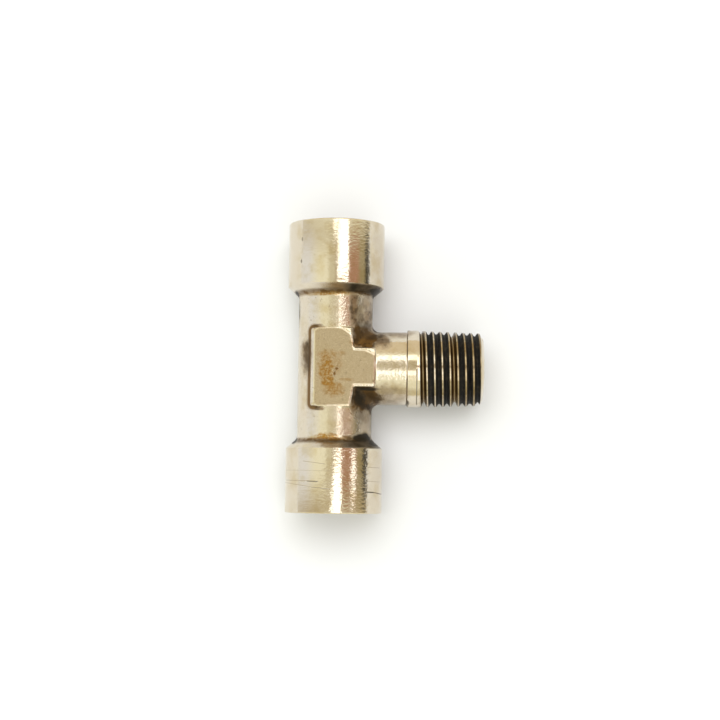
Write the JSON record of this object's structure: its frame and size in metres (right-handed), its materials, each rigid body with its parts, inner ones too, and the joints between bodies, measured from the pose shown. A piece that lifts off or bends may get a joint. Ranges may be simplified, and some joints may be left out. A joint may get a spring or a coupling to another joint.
{
  "type": "tee fitting",
  "caption": "Nickel-plated brass pipe tee: female threaded socket on each end of the run, male taper-threaded branch and a T-shaped wrench flat on both sides.",
  "frame": {"origin": "centre of the lower wrench flat, straight below the crossing of the run axis and the branch axis", "axes": "+Y along the run, +X along the male branch, +Z out of the upper wrench flat; the two pipe axes lie 6.55 mm above the origin"},
  "size_m": [0.0343, 0.0506, 0.0169],
  "materials": {
    "nickel_plated_brass": "nickel plated: turned collars and band, satin forged middle, brown stain in the corners",
    "dried_sealant": "matte black, dried in the thread roots"
  },
  "bodies": {
    "root": {"tee_body": "nickel_plated_brass", "thread_sealant_inner": "dried_sealant", "thread_sealant_outer": "dried_sealant"}
  },
  "joints": []
}
